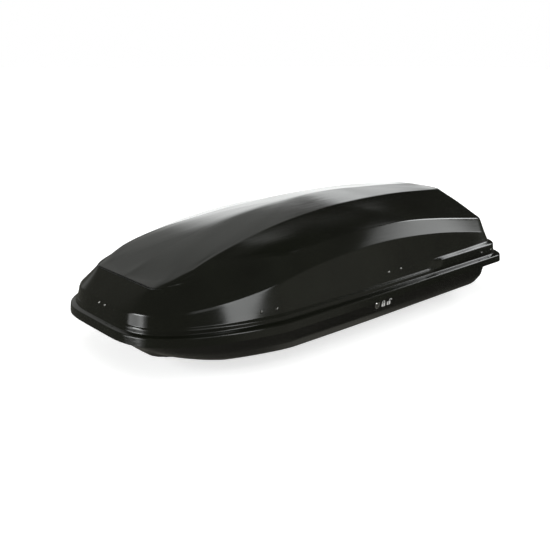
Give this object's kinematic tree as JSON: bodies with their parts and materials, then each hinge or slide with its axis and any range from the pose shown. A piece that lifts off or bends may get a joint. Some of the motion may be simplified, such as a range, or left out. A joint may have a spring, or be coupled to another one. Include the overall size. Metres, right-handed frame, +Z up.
{
  "type": "roof cargo box",
  "caption": "Long low-nosed roof luggage box with a creased lid hinged along its side, a key lock opposite and clamps for roof bars.",
  "frame": {"origin": "on the ground plane under the U-bolts, below the middle of the whole box", "axes": "+X from the nose to the tail, +Y to the hinged side, +Z up; the lock and the opening are on the -Y side"},
  "size_m": [1.92, 0.9453, 0.5091],
  "materials": {
    "lid_plastic": "semi-gloss black thermoformed sheet",
    "tray_plastic": "satin black thermoformed sheet",
    "black_nylon": "matt moulded nylon",
    "grey_nylon": "matt moulded nylon",
    "zinc_steel": "zinc-plated, dull",
    "lock_chrome": "polished",
    "strap_webbing": "woven black webbing"
  },
  "bodies": {
    "tray": {"base_tray": "tray_plastic", "floor_rail_near_side": "zinc_steel", "floor_rail_hinge_side": "zinc_steel", "hinge_base_leaf_front": "zinc_steel", "hinge_base_leaf_middle": "zinc_steel", "hinge_base_leaf_rear": "zinc_steel", "hinge_pin_front": "zinc_steel", "hinge_pin_middle": "zinc_steel", "hinge_pin_rear": "zinc_steel", "stay_foot_bracket_front": "zinc_steel", "stay_foot_bracket_rear": "zinc_steel", "lock_housing": "lock_chrome", "rod_guide_1": "black_nylon", "rod_guide_2": "black_nylon", "rod_guide_3": "black_nylon", "luggage_strap_front": "strap_webbing", "luggage_strap_rear": "strap_webbing", "strap_buckle_front": "black_nylon", "strap_buckle_rear": "black_nylon", "strap_anchor_front_near": "zinc_steel", "strap_anchor_front_hinge": "zinc_steel", "strap_anchor_rear_near": "zinc_steel", "strap_anchor_rear_hinge": "zinc_steel"},
    "lid": {"lid_shell": "lid_plastic", "hinge_lid_leaf_front": "zinc_steel", "hinge_lid_leaf_middle": "zinc_steel", "hinge_lid_leaf_rear": "zinc_steel", "striker_front": "zinc_steel", "striker_middle": "zinc_steel", "striker_rear": "zinc_steel", "nose_plate": "zinc_steel", "stay_head_bracket_front": "zinc_steel", "stay_head_bracket_rear": "zinc_steel"},
    "lock": {"lock_barrel": "lock_chrome", "lock_cam": "zinc_steel"},
    "latch": {"lock_rod": "zinc_steel", "latch_hook_front": "zinc_steel", "latch_hook_middle": "zinc_steel", "latch_hook_rear": "zinc_steel"},
    "stay_tube_body_front": {"stay_tube_front": "black_nylon"},
    "stay_rod_body_front": {"stay_rod_front": "lock_chrome"},
    "stay_tube_body_rear": {"stay_tube_rear": "black_nylon"},
    "stay_rod_body_rear": {"stay_rod_rear": "lock_chrome"},
    "clamp_front_near": {"u_bolt_front_near": "zinc_steel", "bridge_plate_front_near": "black_nylon"},
    "knob_body_front_near_a": {"knob_front_near_a": "grey_nylon"},
    "knob_body_front_near_b": {"knob_front_near_b": "grey_nylon"},
    "clamp_front_hinge": {"u_bolt_front_hinge": "zinc_steel", "bridge_plate_front_hinge": "black_nylon"},
    "knob_body_front_hinge_a": {"knob_front_hinge_a": "grey_nylon"},
    "knob_body_front_hinge_b": {"knob_front_hinge_b": "grey_nylon"},
    "clamp_rear_near": {"u_bolt_rear_near": "zinc_steel", "bridge_plate_rear_near": "black_nylon"},
    "knob_body_rear_near_a": {"knob_rear_near_a": "grey_nylon"},
    "knob_body_rear_near_b": {"knob_rear_near_b": "grey_nylon"},
    "clamp_rear_hinge": {"u_bolt_rear_hinge": "zinc_steel", "bridge_plate_rear_hinge": "black_nylon"},
    "knob_body_rear_hinge_a": {"knob_rear_hinge_a": "grey_nylon"},
    "knob_body_rear_hinge_b": {"knob_rear_hinge_b": "grey_nylon"}
  },
  "joints": [
    {"name": "lid_hinge", "type": "hinge", "parent": "tray", "child": "lid", "pos_m": [0, 0.46725, 0.1527], "axis": [-1, 0, 0], "range_deg": [0, 50]},
    {"name": "stay_swing_front", "type": "hinge", "parent": "tray", "child": "stay_tube_body_front", "pos_m": [-0.49, 0.36675, 0.098], "axis": [-1, 0, 0], "range_deg": [0, 40]},
    {"name": "stay_stroke_front", "type": "slide", "parent": "stay_tube_body_front", "child": "stay_rod_body_front", "axis": [0, -0.2051, 0.9787], "range_m": [0, 0.085]},
    {"name": "stay_swing_rear", "type": "hinge", "parent": "tray", "child": "stay_tube_body_rear", "pos_m": [0.66, 0.36675, 0.098], "axis": [-1, 0, 0], "range_deg": [0, 40]},
    {"name": "stay_stroke_rear", "type": "slide", "parent": "stay_tube_body_rear", "child": "stay_rod_body_rear", "axis": [0, -0.2051, 0.9787], "range_m": [0, 0.085]},
    {"name": "lock_turn", "type": "hinge", "parent": "tray", "child": "lock", "pos_m": [0.025, -0.43912, 0.131], "axis": [0, 0.9969, 0.0782], "range_deg": [0, 90]},
    {"name": "latch_slide", "type": "slide", "parent": "tray", "child": "latch", "axis": [1, 0, 0], "range_m": [0, 0.0226]},
    {"name": "clamp_slide_front_near", "type": "slide", "parent": "tray", "child": "clamp_front_near", "axis": [1, 0, 0], "range_m": [-0.06, 0.06]},
    {"name": "knob_turn_front_near_a", "type": "hinge", "parent": "clamp_front_near", "child": "knob_body_front_near_a", "pos_m": [-0.412, -0.25725, 0.0549], "axis": [0, 0, 1], "continuous": true},
    {"name": "knob_turn_front_near_b", "type": "hinge", "parent": "clamp_front_near", "child": "knob_body_front_near_b", "pos_m": [-0.328, -0.25725, 0.0549], "axis": [0, 0, 1], "continuous": true},
    {"name": "clamp_slide_front_hinge", "type": "slide", "parent": "tray", "child": "clamp_front_hinge", "axis": [1, 0, 0], "range_m": [-0.06, 0.06]},
    {"name": "knob_turn_front_hinge_a", "type": "hinge", "parent": "clamp_front_hinge", "child": "knob_body_front_hinge_a", "pos_m": [-0.412, 0.24275, 0.0549], "axis": [0, 0, 1], "continuous": true},
    {"name": "knob_turn_front_hinge_b", "type": "hinge", "parent": "clamp_front_hinge", "child": "knob_body_front_hinge_b", "pos_m": [-0.328, 0.24275, 0.0549], "axis": [0, 0, 1], "continuous": true},
    {"name": "clamp_slide_rear_near", "type": "slide", "parent": "tray", "child": "clamp_rear_near", "axis": [1, 0, 0], "range_m": [-0.06, 0.06]},
    {"name": "knob_turn_rear_near_a", "type": "hinge", "parent": "clamp_rear_near", "child": "knob_body_rear_near_a", "pos_m": [0.298, -0.25725, 0.0549], "axis": [0, 0, 1], "continuous": true},
    {"name": "knob_turn_rear_near_b", "type": "hinge", "parent": "clamp_rear_near", "child": "knob_body_rear_near_b", "pos_m": [0.382, -0.25725, 0.0549], "axis": [0, 0, 1], "continuous": true},
    {"name": "clamp_slide_rear_hinge", "type": "slide", "parent": "tray", "child": "clamp_rear_hinge", "axis": [1, 0, 0], "range_m": [-0.06, 0.06]},
    {"name": "knob_turn_rear_hinge_a", "type": "hinge", "parent": "clamp_rear_hinge", "child": "knob_body_rear_hinge_a", "pos_m": [0.298, 0.24275, 0.0549], "axis": [0, 0, 1], "continuous": true},
    {"name": "knob_turn_rear_hinge_b", "type": "hinge", "parent": "clamp_rear_hinge", "child": "knob_body_rear_hinge_b", "pos_m": [0.382, 0.24275, 0.0549], "axis": [0, 0, 1], "continuous": true}
  ],
  "couplings": [
    {"joint": "stay_swing_front", "follows": "lid_hinge", "ratio": 0.7575},
    {"joint": "stay_stroke_front", "follows": "lid_hinge", "m_per_rad": 0.095},
    {"joint": "stay_swing_rear", "follows": "lid_hinge", "ratio": 0.7575},
    {"joint": "stay_stroke_rear", "follows": "lid_hinge", "m_per_rad": 0.095},
    {"joint": "lock_turn", "follows": "latch_slide", "rad_per_m": 69.4}
  ]
}
